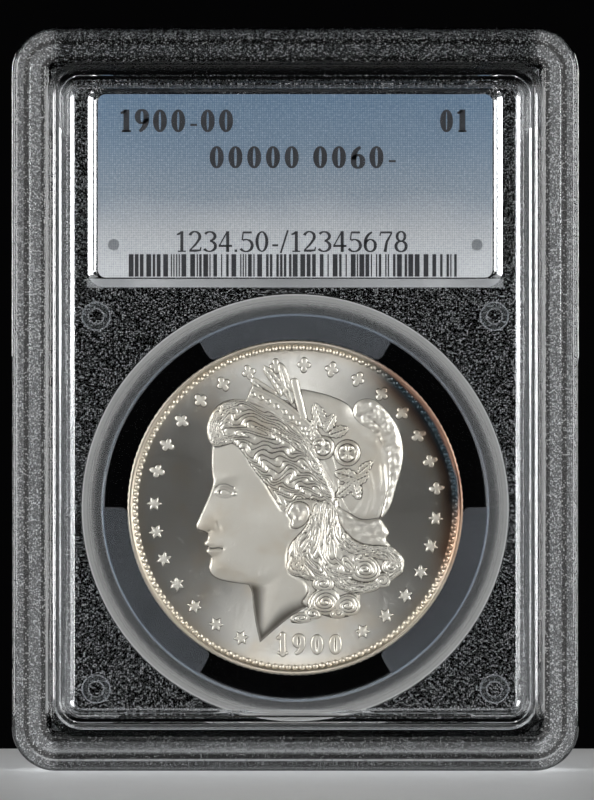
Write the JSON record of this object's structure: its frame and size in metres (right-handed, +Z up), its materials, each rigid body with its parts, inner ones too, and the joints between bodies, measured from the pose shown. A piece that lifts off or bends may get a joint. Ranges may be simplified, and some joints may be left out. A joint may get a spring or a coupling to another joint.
{
  "type": "graded coin slab",
  "caption": "Flat clear plastic case that seals a large silver coin in a padded ring below a printed label, and stacks with others of its kind.",
  "frame": {"origin": "middle of the bottom edge, on the plane where the two shells meet", "axes": "+Z up the height of the slab, +X to the right as seen from the front, front faces -Y"},
  "size_m": [0.0642, 0.008, 0.0842],
  "materials": {
    "clear_plastic": "gloss",
    "weld_plastic": "satin",
    "ring_plastic": "gloss",
    "coin_silver": "polished",
    "label_front": "satin",
    "label_rear": "satin",
    "foil": "polished"
  },
  "bodies": {
    "root": {"front_shell": "clear_plastic", "rear_shell": "clear_plastic", "weld_bead": "weld_plastic", "coin_ring": "ring_plastic", "coin": "coin_silver", "label_front_sheet": "label_front", "label_rear_sheet": "label_rear", "hologram_foil": "foil"}
  },
  "joints": []
}
